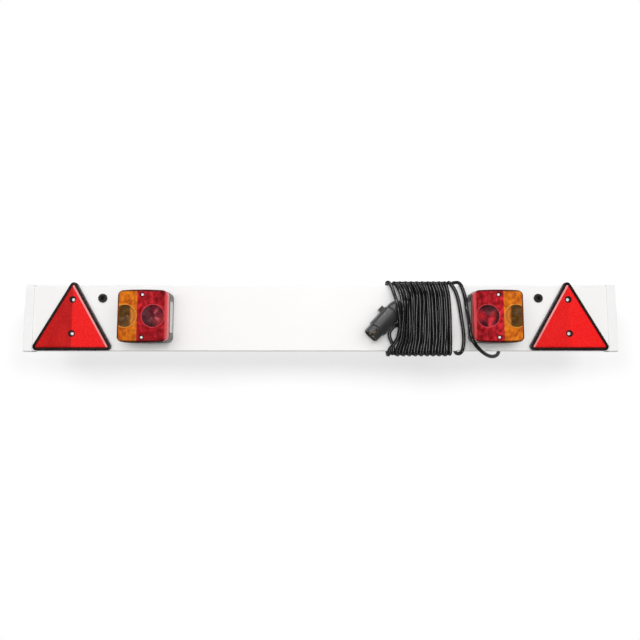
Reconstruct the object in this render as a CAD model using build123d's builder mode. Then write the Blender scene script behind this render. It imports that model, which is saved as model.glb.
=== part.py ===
"""Trailer lighting board: a hollow plank with two lamps, two warning triangles and a wound cable.

X runs along the plank, the lamps face -Y and Z is up. The origin lies on the plank's back face,
midway between its two fixing holes. Millimetres.
"""
import os
from math import cos, radians, sin, tan

from build123d import *

# Plank: an extruded hollow section closed by a push-on cap at each end
board_length = 1220
board_height = 136
board_thickness = 20
board_wall = 2.2
board_edge = 2.0
web_wall = 1.8
web_rise = 15
cap_overlap = 16
cap_wall = 1.2
cap_end = 2.5
cap_gap = 0.1

# Fixing holes, each lined by a rubber bush, set in from the plank's end and below its top edge
fix_inset = 160
fix_drop = 27
bush_bore = 9
bush_barrel = 13
bush_flange_diameter = 18.5
bush_flange = 2
bush_round = 0.8
bush_gap = 0.1

# Warning triangles
reflector_inset = 101.5
reflector_width = 160
reflector_drop = 1
reflector_plate = 2.5
reflector_rim = 6
reflector_rim_height = 6.5
reflector_rim_round = 1.5
reflector_lens_top = 8
reflector_lens_corner = 2
reflector_lens_bevel = 1.8
reflector_gap = 0.1
boss_diameter = 14
boss_recess = 9.2
boss_top = 7.4
rivet_rise = 34.5
rivet_spacing = 70
rivet_head_diameter = 7.6
rivet_head = 2.0
rivet_head_round = 1.6
rivet_shank = 4
rivet_tail_diameter = 6.2
rivet_tail = 4.5
rivet_tail_round = 1.8
rivet_gap = 0.1

# Lamps: a tub-shaped base, a gasket and a lens in two colours
lamp_inset = 258
lamp_width = 98
lamp_height = 105
lamp_bow = 2
lamp_corner = 11
base_depth = 29
base_floor = 3
base_wall = 2.5
gasket_thick = 1
gasket_width = 2.6
gasket_proud = 0.5
lens_depth = 20
lens_wall = 2.4
lens_bevel = 3
seam_offset = 9.5
partition_wall = 1.8
stop_optic_offset = -22
turn_optic_offset = 33.5
optic_ring_radius = 23.4
optic_ring_width = 1.2
optic_ring_height = 0.5
optic_edge = 1.0
window_height = 63
window_depth = 20
window_low = 6
window_gap = 0.1
window_flange = 2
window_flange_thick = 1.2

# Lens screws on the lamp's centre line
screw_rise = 42.3
screw_diameter = 4
screw_head_diameter = 6.2
screw_head = 2.4
screw_head_round = 1.0
screw_recess_length = 3.4
screw_recess_width = 0.9
screw_recess_depth = 1.2
screw_length = 32
screw_hole_spare = 2
screw_gap = 0.1
lens_boss_diameter = 11
base_boss_diameter = 9.6
counterbore_diameter = 9.4
counterbore_depth = 4

# Lamp bolts through the plank
bolt_rise = 26
bolt_diameter = 5
bolt_head_diameter = 9.4
bolt_head = 3.2
bolt_head_round = 1.3
bolt_gap = 0.25
bolt_end = 2
washer_diameter = 12
washer_thick = 1
nut_flats = 8
nut_height = 4
nut_gap = 0.05

# Bulbs lie upright in their chambers, each in a clipped-in holder
bulb_depth = 24
stop_bulb_offset = -22
turn_bulb_offset = 28.5
bulb_base_rise = -16
bulb_ball_diameter = 25
bulb_ball_rise = 20
bulb_neck_diameter = 13
bulb_cap_diameter = 15
bulb_cap_length = 17
bulb_contact_diameter = 6
bulb_contact = 2
bulb_pin_diameter = 2
bulb_pin_reach = 1.2
bulb_pin_drop = 7
holder_wall = 1.8
holder_end = 2
holder_rim_drop = 3
holder_foot_width = 12
holder_gap = 0.1
wire_diameter = 1.8
wire_bend = 3.5
wire_height = 12.5
wire_spread = 1.5
wire_wall_gap = 2.5
wire_notch = 3

# Cables: a link between the lamps and the long one that ends in the plug
cable_diameter = 7.5
link_diameter = 6
link_offset = -3
link_depth = 6.5
link_bend = 12
cable_end_height = 8
exit_offset = 28
exit_rise = 33
grommet_wall = 2
grommet_flange_reach = 1.8
grommet_flange = 1.5
grommet_gap = 0.05
exit_flange_reach = 3
exit_flange = 3
exit_nose = 8
exit_nose_tip = 1.2

# Winding round the plank, raised where it lies over the back of the plug
winding_start = 108
winding_length = 134
winding_gap = 0.3
winding_corner = 5
swell_foot = (8, 74, -30, 66)
swell_crown = (13, 36, 3, 40)
swell_top = 40
plug_gap = 0.4

# Plug, measured along its axis from the mouth; the mouth from the winding, the plank's front and middle
plug_mouth = (-38, 28.4, -38.7)
plug_slope = 46.7
plug_tilt = 8
plug_barrel_diameter = 32.5
plug_barrel_length = 18.4
plug_body_diameter = 38
plug_body_end = 65
plug_bore_diameter = 28
plug_seat = 41
plug_rear_bore_diameter = 30.6
plug_edge = 1.2
key_width = 3.5
key_length = 15
lug_start = 50
lug_length = 12
lug_width = 8
lug_rise = 6
lug_root = 1.5
lug_edge = 1.5
insert_face = 22
insert_flange = 2
insert_gap = 0.1
pin_diameter = 4.8
pin_circle = 18
pin_tip = 4
centre_pin_tip = 9
pin_tail = 46
pin_round = 1.2
pin_gap = 0.05
cap_spigot = 8
cap_waist_diameter = 31.0
cap_waist_end = 67.5
cap_diameter = 34
cap_shoulder = 74
cap_dome_end = 92
cap_dome_diameter = 19
gland_end = 102
gland_diameter = 13
cap_cavity_diameter = 24
cap_cavity_end = 78
cable_inside = 66
cable_gap = 0.05

# Loose cable from the exit to the winding: x from the exit, y, and height above the plank's middle
over_top = [(-93, -25, 73.4), (-100, 5, 73.4)]
under_bottom = [(-98, 4.8, -73.2), (-92, -24.8, -73.2)]
tail_route = [
    (0, 11, 33),
    (0, 24.5, 33),
    (0.5, 37.5, 25.5),
    (1.5, 44.5, 12.5),
    (3, 46, -4),
    (4, 44.5, -22),
    (4, 40, -40),
    (2.5, 31.5, -56.5),
    (-2, 18, -69.5),
    (-11.5, 2, -76.5),
    (-26, -15.5, -79.8),
    (-42.5, -34.5, -77.5),
    (-60, -54, -69),
    (-75, -69, -56),
    (-83, -74.5, -39),
    (-84.5, -70.5, -21),
    (-83, -55, -6),
    (-82, -40, 8),
    (-81.8, -30.5, 24),
    (-82.8, -27, 43),
    (-87, -26.4, 58.5),
    *over_top,
    (-101.2, 6.6, 52),
    (-100, 9.2, 24),
    (-98.4, 9.6, -7),
    (-97.2, 8, -36),
    (-97.6, 6, -57),
    *under_bottom,
    (-87.4, -26.4, -54),
    (-87.8, -27.9, -30),
    (-91.4, -28.2, -5),
    (-94, -27.2, 20),
    (-98, -26, 43),
    (-104, -25.2, 60.5),
    (-111.5, -24.6, 74.5),
]
tight_bend = board_edge + cable_diameter / 2
bend_share = 0.45

# Places that follow from the sizes above
fix_rise = board_height / 2 - fix_drop
board_mid = -fix_rise
panel_length = board_length - 2 * cap_end
fix_spacing = board_length - 2 * fix_inset
reflector_spacing = board_length - 2 * reflector_inset
lamp_spacing = board_length - 2 * lamp_inset
lens_back = base_depth + gasket_thick
lamp_front = lens_back + lens_depth
frame_corner = reflector_lens_corner + reflector_gap + reflector_rim
reflector_foot = -board_height / 2 + reflector_drop
rivet_rows = (reflector_foot + rivet_rise, reflector_foot + rivet_rise + rivet_spacing)
screw_seat = lamp_front - counterbore_depth
holder_middle = bulb_base_rise - (holder_rim_drop + bulb_cap_length + bulb_contact + holder_end) / 2
grommet_diameter = link_diameter + 2 * grommet_wall
main_grommet_diameter = cable_diameter + 2 * grommet_wall
exit_x = lamp_spacing / 2 + exit_offset
exit_place = (exit_x, exit_rise)
winding_right = exit_x - winding_start
winding_left = winding_right - winding_length
side_names = {-1: "left", 1: "right"}


def front(height):
    """Plane facing forward at this height in front of the plank, centred on the plank."""
    return Plane(origin=(0, -board_thickness - height, board_mid), x_dir=(1, 0, 0), z_dir=(0, -1, 0))


def lamp_face(side, height):
    """Plane facing forward at this height in front of the plank, centred on one lamp."""
    centre = (side * lamp_spacing / 2, -board_thickness - height, board_mid)
    return Plane(origin=centre, x_dir=(1, 0, 0), z_dir=(0, -1, 0))


def write(builder, name):
    """Label a finished piece and write it as its own file."""
    builder.part.label = name
    export_step(builder.part, f"parts/{name}.step")


def lamp_places(outward, rise):
    """Both lamps' copies of a point, mirrored about the middle of the plank."""
    return [(side * (lamp_spacing / 2 + outward), rise) for side in side_names]


def bolt_places():
    """The four lamp bolts."""
    return lamp_places(0, bolt_rise) + lamp_places(0, -bolt_rise)


def rivet_places():
    """The four reflector rivets."""
    half = reflector_spacing / 2
    return [(side * half, rise) for side in side_names for rise in rivet_rows]


os.makedirs("parts", exist_ok=True)

# Plank
with BuildPart() as board_panel:
    with BuildSketch(Plane.YZ):
        with Locations((-board_thickness / 2, board_mid)):
            RectangleRounded(board_thickness, board_height, board_edge)
            Rectangle(
                board_thickness - 2 * board_wall,
                board_height - 2 * board_wall,
                mode=Mode.SUBTRACT,
            )
        with Locations(
            (-board_thickness / 2, board_mid - web_rise),
            (-board_thickness / 2, board_mid + web_rise),
        ):
            Rectangle(board_thickness - board_wall, web_wall)
    extrude(amount=panel_length / 2, both=True)
    with BuildSketch(front(0)):
        with Locations(*[(side * fix_spacing / 2, fix_rise) for side in side_names]):
            Circle(bush_barrel / 2 + bush_gap)
        with Locations(*bolt_places()):
            Circle(bolt_diameter / 2 + bolt_gap)
    extrude(amount=-board_thickness, mode=Mode.SUBTRACT)
    with BuildSketch(front(0)):
        with Locations(*rivet_places()):
            Circle(rivet_shank / 2 + rivet_gap)
        with Locations(*lamp_places(link_offset, 0)):
            Circle(grommet_diameter / 2 + grommet_gap)
        with Locations(exit_place):
            Circle(main_grommet_diameter / 2 + grommet_gap)
    extrude(amount=-board_thickness / 2, mode=Mode.SUBTRACT)
    with BuildSketch(front(-board_thickness)):
        with Locations(exit_place):
            Circle(main_grommet_diameter / 2 + grommet_gap)
    extrude(amount=board_thickness / 2, mode=Mode.SUBTRACT)
write(board_panel, "board_panel")


def end_cap(side):
    """Push-on cap: a thin sleeve over the plank's end and a plate across it."""
    grow = 2 * (cap_gap + cap_wall)
    corner = board_edge + cap_gap + cap_wall
    with BuildPart() as cap:
        with BuildSketch(Plane.YZ.offset(side * (panel_length / 2 - cap_overlap))):
            with Locations((-board_thickness / 2, board_mid)):
                RectangleRounded(board_thickness + grow, board_height + grow, corner)
        extrude(amount=side * (cap_overlap + cap_end))
        with BuildSketch(Plane.YZ.offset(side * (panel_length / 2 - cap_overlap))):
            with Locations((-board_thickness / 2, board_mid)):
                RectangleRounded(
                    board_thickness + 2 * cap_gap,
                    board_height + 2 * cap_gap,
                    board_edge + cap_gap,
                )
        extrude(amount=side * cap_overlap, mode=Mode.SUBTRACT)
        outer_face = cap.faces().sort_by(Axis.X)[-1 if side > 0 else 0]
        fillet(outer_face.edges(), cap_wall)
    write(cap, f"end_cap_{side_names[side]}")


def fixing_bush(side):
    """Rubber bush right through the plank, flanged on both faces."""
    spot = (side * fix_spacing / 2, fix_rise)
    with BuildPart() as bush:
        with BuildSketch(front(-board_thickness)):
            with Locations(spot):
                Circle(bush_barrel / 2)
        extrude(amount=board_thickness)
        for face_height, direction in ((0, 1), (-board_thickness, -1)):
            with BuildSketch(front(face_height)):
                with Locations(spot):
                    Circle(bush_flange_diameter / 2)
            extrude(amount=direction * bush_flange)
        fillet(bush.edges().group_by(Axis.Y)[0] + bush.edges().group_by(Axis.Y)[-1], bush_round)
        with BuildSketch(front(bush_flange)):
            with Locations(spot):
                Circle(bush_bore / 2)
        extrude(amount=-board_thickness - 2 * bush_flange, mode=Mode.SUBTRACT)
    write(bush, f"fixing_bush_{side_names[side]}")


def triangle(side, margin):
    """Rounded triangle around the three corner centres, this much larger than them."""
    centre = side * reflector_spacing / 2
    half = reflector_width / 2 - frame_corner
    low = reflector_foot + frame_corner
    with BuildLine() as outline:
        Polyline(
            (centre - half, low),
            (centre + half, low),
            (centre, low + 2 * half * sin(radians(60))),
            close=True,
        )
    make_face(outline.edges())
    offset(amount=margin, mode=Mode.REPLACE)


def reflector_frame(side):
    """Black backing: plate, raised rim and two rivet bosses."""
    bosses = [(side * reflector_spacing / 2, rise) for rise in rivet_rows]
    with BuildPart() as frame:
        with BuildSketch(front(0)):
            triangle(side, frame_corner)
        extrude(amount=reflector_rim_height)
        fillet(frame.faces().sort_by(Axis.Y)[0].edges(), reflector_rim_round)
        with BuildSketch(front(reflector_plate)):
            triangle(side, frame_corner - reflector_rim)
        extrude(amount=reflector_rim_height, mode=Mode.SUBTRACT)
        with BuildSketch(front(reflector_plate)):
            with Locations(*bosses):
                Circle(boss_diameter / 2)
                Circle(boss_recess / 2, mode=Mode.SUBTRACT)
        extrude(amount=boss_top - reflector_plate)
        with BuildSketch(front(0)):
            with Locations(*bosses):
                Circle(rivet_shank / 2 + rivet_gap)
        extrude(amount=reflector_plate, mode=Mode.SUBTRACT)
    write(frame, f"reflector_frame_{side_names[side]}")


def reflector_lens(side):
    """Red prismatic insert, bevelled at its front edge and pierced for the bosses."""
    bosses = [(side * reflector_spacing / 2, rise) for rise in rivet_rows]
    with BuildPart() as lens:
        with BuildSketch(front(reflector_plate)):
            triangle(side, reflector_lens_corner)
        extrude(amount=reflector_lens_top - reflector_plate)
        chamfer(lens.faces().sort_by(Axis.Y)[0].edges(), reflector_lens_bevel)
        with BuildSketch(front(reflector_plate)):
            with Locations(*bosses):
                Circle(boss_diameter / 2 + reflector_gap)
        extrude(amount=reflector_lens_top - reflector_plate, mode=Mode.SUBTRACT)
    write(lens, f"reflector_lens_{side_names[side]}")


for side in side_names:
    end_cap(side)
    fixing_bush(side)
    reflector_frame(side)
    reflector_lens(side)

# Blind rivets, set from the front into the hollow of the plank
with BuildPart() as rivets:
    with BuildSketch(front(reflector_plate)):
        with Locations(*rivet_places()):
            Circle(rivet_head_diameter / 2)
    extrude(amount=rivet_head)
    fillet(rivets.edges().group_by(Axis.Y)[0], rivet_head_round)
    with BuildSketch(front(reflector_plate)):
        with Locations(*rivet_places()):
            Circle(rivet_shank / 2)
    extrude(amount=-reflector_plate - board_wall)
    with BuildSketch(front(-board_wall)):
        with Locations(*rivet_places()):
            Circle(rivet_tail_diameter / 2)
    extrude(amount=-rivet_tail)
    fillet(rivets.edges().group_by(Axis.Y)[-1], rivet_tail_round)
write(rivets, "reflector_rivets")


def lamp_outline(sketch):
    """The lamp's plan: upright sides, bowed top and bottom, rounded corners."""
    half_width = lamp_width / 2
    half_height = lamp_height / 2
    shoulder = half_height - lamp_bow
    with BuildLine() as outline:
        ThreePointArc((-half_width, shoulder), (0, half_height), (half_width, shoulder))
        Line((half_width, shoulder), (half_width, -shoulder))
        ThreePointArc((half_width, -shoulder), (0, -half_height), (-half_width, -shoulder))
        Line((-half_width, -shoulder), (-half_width, shoulder))
    make_face(outline.edges())
    fillet(sketch.vertices(), lamp_corner)


def lamp_base(side):
    """Tub that carries the bulbs, with a partition, screw bosses and a window opening."""
    bosses = [(0, screw_rise), (0, -screw_rise)]
    with BuildPart() as base:
        with BuildSketch(lamp_face(side, 0)) as plan:
            lamp_outline(plan)
        extrude(amount=base_depth)
        with BuildSketch(lamp_face(side, base_floor)) as hollow:
            lamp_outline(hollow)
            offset(amount=-base_wall, mode=Mode.REPLACE)
        extrude(amount=base_depth, mode=Mode.SUBTRACT)
        with BuildSketch(lamp_face(side, base_floor)):
            with Locations((side * seam_offset, 0)):
                Rectangle(partition_wall, lamp_height - base_wall)
            with Locations(*bosses):
                Circle(base_boss_diameter / 2)
        extrude(amount=base_depth - base_floor)
        with BuildSketch(lamp_face(side, base_depth)):
            with Locations(*bosses):
                Circle(screw_diameter / 2 + screw_gap)
        extrude(amount=screw_seat - screw_length - base_depth - screw_hole_spare, mode=Mode.SUBTRACT)
        with BuildSketch(lamp_face(side, 0)):
            with Locations((0, bolt_rise), (0, -bolt_rise)):
                Circle(bolt_diameter / 2 + bolt_gap)
            with Locations((side * link_offset, 0)):
                Circle(grommet_diameter / 2 + grommet_gap)
            if side > 0:
                with Locations((exit_offset, exit_rise)):
                    Circle(main_grommet_diameter / 2 + grommet_gap)
        extrude(amount=base_floor, mode=Mode.SUBTRACT)
        with BuildSketch(lamp_face(side, window_low)):
            with Locations((-side * (lamp_width - base_wall) / 2, 0)):
                Rectangle(2 * base_wall, window_height)
        extrude(amount=window_depth, mode=Mode.SUBTRACT)
        with BuildSketch(lamp_face(side, wire_height - wire_notch / 2)):
            with Locations((side * seam_offset, holder_middle)):
                Rectangle(2 * partition_wall, wire_notch)
        extrude(amount=base_depth, mode=Mode.SUBTRACT)
    write(base, f"lamp_base_{side_names[side]}")


def lamp_gasket(side):
    """Seal between base and lens, standing a little proud of both."""
    with BuildPart() as gasket:
        with BuildSketch(lamp_face(side, base_depth)) as ring:
            lamp_outline(ring)
            offset(amount=gasket_proud, mode=Mode.REPLACE)
            offset(amount=-gasket_width, mode=Mode.SUBTRACT)
        extrude(amount=gasket_thick)
    write(gasket, f"lamp_gasket_{side_names[side]}")


def lamp_lens(side, name, keep):
    """One colour of the lens: the whole moulding cut at the seam, with its optic ring."""
    bosses = [(0, screw_rise), (0, -screw_rise)]
    seam = Plane(origin=(side * (lamp_spacing / 2 + seam_offset), 0, 0), z_dir=(side, 0, 0))
    with BuildPart() as lens:
        with BuildSketch(lamp_face(side, lens_back)) as plan:
            lamp_outline(plan)
        extrude(amount=lens_depth)
        chamfer(lens.faces().sort_by(Axis.Y)[0].edges(), lens_bevel)
        with BuildSketch(lamp_face(side, lens_back)) as hollow:
            lamp_outline(hollow)
            offset(amount=-lens_wall, mode=Mode.REPLACE)
        extrude(amount=lens_depth - lens_wall, mode=Mode.SUBTRACT)
        with BuildSketch(lamp_face(side, base_depth)):
            with Locations(*bosses):
                Circle(lens_boss_diameter / 2)
        extrude(amount=lens_depth + gasket_thick - lens_wall)
        with BuildSketch(lamp_face(side, lamp_front)) as rings:
            lamp_outline(rings)
            offset(amount=-lens_bevel - optic_edge, mode=Mode.REPLACE)
            with Locations((side * stop_optic_offset, 0), (side * turn_optic_offset, 0)):
                Circle(optic_ring_radius, mode=Mode.INTERSECT)
                Circle(optic_ring_radius - optic_ring_width, mode=Mode.SUBTRACT)
        extrude(amount=optic_ring_height)
        with BuildSketch(lamp_face(side, lamp_front)):
            with Locations(*bosses):
                Circle(counterbore_diameter / 2)
        extrude(amount=-counterbore_depth, mode=Mode.SUBTRACT)
        with BuildSketch(lamp_face(side, lamp_front)):
            with Locations(*bosses):
                Circle(screw_diameter / 2 + screw_gap)
        extrude(amount=-lens_depth - gasket_thick, mode=Mode.SUBTRACT)
        split(bisect_by=seam, keep=keep)
    write(lens, f"{name}_lens_{side_names[side]}")


def plate_window(side):
    """Clear pane in the inner side wall, held by a flange behind the wall."""
    pane_centre = -side * (lamp_width - base_wall) / 2
    flange_centre = -side * (lamp_width / 2 - base_wall - window_flange_thick / 2)
    with BuildPart() as window:
        with BuildSketch(lamp_face(side, window_low + window_gap)):
            with Locations((pane_centre, 0)):
                Rectangle(base_wall, window_height - 2 * window_gap)
        extrude(amount=window_depth - 2 * window_gap)
        with BuildSketch(lamp_face(side, window_low - window_flange)):
            with Locations((flange_centre, 0)):
                Rectangle(window_flange_thick, window_height + 2 * window_flange)
        extrude(amount=window_depth + 2 * window_flange)
    write(window, f"plate_window_{side_names[side]}")


def bulb_seat(side, offset_out):
    """Middle of the joint between a bulb's cap and its glass."""
    across = side * (lamp_spacing / 2 + offset_out)
    return (across, -board_thickness - bulb_depth, board_mid + bulb_base_rise)


def bulb(side, name, offset_out):
    """Bayonet bulb: a glass ball on a neck, and a cap with two pins and an end contact."""
    seat = bulb_seat(side, offset_out)
    upright = Axis(seat, (0, 0, 1))
    with BuildPart() as glass:
        with BuildSketch(Plane(origin=seat, x_dir=(1, 0, 0), z_dir=(0, -1, 0))):
            with Locations((0, bulb_ball_rise)):
                Circle(bulb_ball_diameter / 2)
            with Locations((0, bulb_ball_rise / 2)):
                Rectangle(bulb_neck_diameter, bulb_ball_rise)
            with Locations((-bulb_ball_diameter, bulb_ball_rise / 2)):
                Rectangle(2 * bulb_ball_diameter, 4 * bulb_ball_rise, mode=Mode.SUBTRACT)
        revolve(axis=upright)
    write(glass, f"{name}_bulb_glass_{side_names[side]}")
    with BuildPart() as cap:
        with BuildSketch(Plane(origin=seat)):
            Circle(bulb_cap_diameter / 2)
        extrude(amount=-bulb_cap_length)
        with BuildSketch(Plane(origin=seat).offset(-bulb_cap_length)):
            Circle(bulb_contact_diameter / 2)
        extrude(amount=-bulb_contact)
        with BuildSketch(Plane(origin=seat, x_dir=(0, 1, 0), z_dir=(1, 0, 0))):
            with Locations((0, -bulb_pin_drop)):
                Circle(bulb_pin_diameter / 2)
        extrude(amount=bulb_cap_diameter / 2 + bulb_pin_reach, both=True)
    write(cap, f"{name}_bulb_cap_{side_names[side]}")


def bulb_holder(side, name, offset_out):
    """Socket for a bulb's cap on a foot that stands on the floor of the base."""
    seat = bulb_seat(side, offset_out)
    bore = bulb_cap_diameter / 2 + holder_gap
    top = -holder_rim_drop
    contact_level = -bulb_cap_length - bulb_contact
    slot = bulb_pin_diameter + 2 * holder_gap
    length = top - contact_level + holder_end
    with BuildPart() as holder:
        with BuildSketch(Plane(origin=seat).offset(top)):
            Circle(bore + holder_wall)
        extrude(amount=-length)
        with BuildSketch(Plane(origin=seat).offset(top)):
            with Locations((0, (bulb_depth - base_floor) / 2)):
                Rectangle(holder_foot_width, bulb_depth - base_floor)
        extrude(amount=-length)
        with BuildSketch(Plane(origin=seat).offset(top)):
            Circle(bore)
        extrude(amount=contact_level - top, mode=Mode.SUBTRACT)
        with BuildSketch(Plane(origin=seat).offset(top)):
            Rectangle(2 * (bore + 2 * holder_wall), slot)
        extrude(amount=-bulb_pin_drop - bulb_pin_diameter / 2 - holder_gap - top, mode=Mode.SUBTRACT)
    write(holder, f"{name}_bulb_holder_{side_names[side]}")


def lamp_wires(side):
    """Insulated wires from the cable ends inside a lamp to the sides of the bulb holders' feet."""
    half_foot = holder_foot_width / 2
    stop_start = link_offset - wire_spread
    turn_start = link_offset + wire_spread
    outer_wall = lamp_width / 2 - base_wall - wire_wall_gap
    runs = [
        [(stop_start, 0), (stop_start, holder_middle), (stop_bulb_offset + half_foot, holder_middle)],
        [(turn_start, 0), (turn_start, holder_middle), (turn_bulb_offset - half_foot, holder_middle)],
    ]
    if side > 0:
        runs.append(
            [
                (exit_offset, exit_rise),
                (outer_wall, exit_rise),
                (outer_wall, holder_middle),
                (turn_bulb_offset + half_foot, holder_middle),
            ]
        )
    with BuildPart() as wires:
        for run in runs:
            heights = [cable_end_height] + [wire_height] * len(run)
            spots = [run[0]] + run
            points = [
                lamp_face(side, height).from_local_coords((side * out, rise, 0))
                for (out, rise), height in zip(spots, heights)
            ]
            with BuildLine():
                path = FilletPolyline(*points, radius=wire_bend)
            with BuildSketch(Plane(origin=path @ 0, z_dir=path % 0)):
                Circle(wire_diameter / 2)
            sweep(path=path)
    write(wires, f"lamp_wires_{side_names[side]}")


for side in side_names:
    lamp_base(side)
    lamp_gasket(side)
    lamp_lens(side, "red", Keep.BOTTOM)
    lamp_lens(side, "amber", Keep.TOP)
    plate_window(side)
    for name, offset_out in (("stop", stop_bulb_offset), ("turn", turn_bulb_offset)):
        bulb(side, name, offset_out)
        bulb_holder(side, name, offset_out)
    lamp_wires(side)

# Cross-head lens screws, head down in the counterbores
with BuildPart() as lens_screws:
    places = lamp_places(0, screw_rise) + lamp_places(0, -screw_rise)
    with BuildSketch(front(screw_seat)):
        with Locations(*places):
            Circle(screw_head_diameter / 2)
    extrude(amount=screw_head)
    fillet(lens_screws.edges().group_by(Axis.Y)[0], screw_head_round)
    with BuildSketch(front(screw_seat)):
        with Locations(*places):
            Circle(screw_diameter / 2)
    extrude(amount=-screw_length)
    with BuildSketch(front(screw_seat + screw_head)):
        with Locations(*places):
            Rectangle(screw_recess_length, screw_recess_width)
            Rectangle(screw_recess_width, screw_recess_length)
    extrude(amount=-screw_recess_depth, mode=Mode.SUBTRACT)
write(lens_screws, "lens_screws")

# Lamp bolts, washers and nuts
with BuildPart() as lamp_bolts:
    with BuildSketch(front(base_floor)):
        with Locations(*bolt_places()):
            Circle(bolt_head_diameter / 2)
    extrude(amount=bolt_head)
    fillet(lamp_bolts.edges().group_by(Axis.Y)[0], bolt_head_round)
    with BuildSketch(front(base_floor)):
        with Locations(*bolt_places()):
            Circle(bolt_diameter / 2)
    extrude(amount=-base_floor - board_thickness - washer_thick - nut_height - bolt_end)
write(lamp_bolts, "lamp_bolts")

with BuildPart() as lamp_washers:
    with BuildSketch(front(-board_thickness)):
        with Locations(*bolt_places()):
            Circle(washer_diameter / 2)
            Circle(bolt_diameter / 2 + bolt_gap, mode=Mode.SUBTRACT)
    extrude(amount=-washer_thick)
write(lamp_washers, "lamp_washers")

with BuildPart() as lamp_nuts:
    with BuildSketch(front(-board_thickness - washer_thick)):
        with Locations(*bolt_places()):
            RegularPolygon(nut_flats / 2, 6, major_radius=False)
            Circle(bolt_diameter / 2 + nut_gap, mode=Mode.SUBTRACT)
    extrude(amount=-nut_height)
write(lamp_nuts, "lamp_nuts")

# Link cable through the middle chamber of the plank, and its grommets
link_end = lamp_spacing / 2 + link_offset
with BuildPart() as link_cable:
    with BuildLine():
        link_path = FilletPolyline(
            (-link_end, -board_thickness - cable_end_height, board_mid),
            (-link_end, -link_depth, board_mid),
            (link_end, -link_depth, board_mid),
            (link_end, -board_thickness - cable_end_height, board_mid),
            radius=link_bend,
        )
    with BuildSketch(Plane(origin=link_path @ 0, z_dir=link_path % 0)):
        Circle(link_diameter / 2)
    sweep()
write(link_cable, "link_cable")


def floor_grommet(places, bore):
    """Rubber grommets that line a lamp's floor and the plank's front wall behind it."""
    with BuildPart() as grommet:
        with BuildSketch(front(-board_wall)):
            with Locations(*places):
                Circle(bore / 2 + grommet_wall)
                Circle(bore / 2 + grommet_gap, mode=Mode.SUBTRACT)
        extrude(amount=board_wall + base_floor)
        with BuildSketch(front(base_floor)):
            with Locations(*places):
                Circle(bore / 2 + grommet_wall + grommet_flange_reach)
                Circle(bore / 2 + grommet_gap, mode=Mode.SUBTRACT)
        extrude(amount=grommet_flange)
    return grommet


write(floor_grommet(lamp_places(link_offset, 0), link_diameter), "link_grommets")
write(floor_grommet([exit_place], cable_diameter), "main_cable_grommet")

# Exit grommet at the back of the plank, with a short tapered nose
exit_tip = exit_flange + exit_nose
with BuildPart() as exit_grommet:
    exit_axis_point = (exit_x, 0, board_mid + exit_rise)
    with BuildSketch(Plane(origin=exit_axis_point, x_dir=(1, 0, 0), z_dir=(0, 0, 1))):
        with BuildLine():
            Polyline(
                (cable_diameter / 2 + grommet_gap, -board_wall),
                (main_grommet_diameter / 2, -board_wall),
                (main_grommet_diameter / 2, 0),
                (main_grommet_diameter / 2 + exit_flange_reach, 0),
                (main_grommet_diameter / 2 + exit_flange_reach, exit_flange),
                (main_grommet_diameter / 2, exit_flange),
                (cable_diameter / 2 + exit_nose_tip, exit_tip),
                (cable_diameter / 2 + grommet_gap, exit_tip),
                close=True,
            )
        make_face()
    revolve(axis=Axis(exit_axis_point, (0, 1, 0)))
write(exit_grommet, "cable_exit_grommet")

# Main cable from inside the right lamp to the tip of the exit grommet
with BuildPart() as cable_inlet:
    with BuildSketch(front(cable_end_height)):
        with Locations(exit_place):
            Circle(cable_diameter / 2)
    extrude(amount=-cable_end_height - board_thickness - exit_tip)
write(cable_inlet, "cable_inlet")


def route_radii(points):
    """Bend radii along a route: as large as the runs allow, and tight round the plank's edges."""
    radii = []
    for index in range(1, len(points) - 1):
        before = points[index] - points[index - 1]
        after = points[index + 1] - points[index]
        half_turn = radians(before.get_angle(after) / 2)
        easy = bend_share * min(before.length, after.length) / tan(half_turn)
        radii.append(tight_bend if tail_route[index] in over_top + under_bottom else easy)
    return radii


# Loose cable, cut off where it joins the winding
tail_points = [Vector(exit_x + x, y, board_mid + rise) for x, y, rise in tail_route]
tail_radii = route_radii(tail_points)
with BuildPart() as cable_tail:
    with BuildLine():
        tail_path = FilletPolyline(*tail_points, radius=tail_radii)
    with BuildSketch(Plane(origin=tail_path @ 0, z_dir=tail_path % 0)):
        Circle(cable_diameter / 2)
    sweep()
    split(bisect_by=Plane.YZ.offset(winding_right), keep=Keep.TOP)
write(cable_tail, "cable_tail")
print("tail length", round(tail_path.length, 1), "volume", round(cable_tail.part.volume))
print("tail radii", [round(radius, 1) for radius in tail_radii])

# Plug frame: origin at the middle of the mouth, axis towards the cable
plug_origin = Vector(
    winding_left + plug_mouth[0], -board_thickness - plug_mouth[1], board_mid + plug_mouth[2]
)
slope = radians(plug_slope)
tilt = radians(plug_tilt)
plug_axis = Vector(cos(tilt) * cos(slope), sin(tilt), cos(tilt) * sin(slope))
plug_side = Vector(-sin(slope), 0, cos(slope))
plug_half = Plane(origin=plug_origin, x_dir=plug_side, z_dir=plug_side.cross(plug_axis))
plug_line = Axis(plug_origin, plug_axis)


def plug_station(distance):
    """Plane across the plug at this distance behind its mouth."""
    return Plane(origin=plug_origin + plug_axis * distance, x_dir=plug_side, z_dir=plug_axis)


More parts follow.
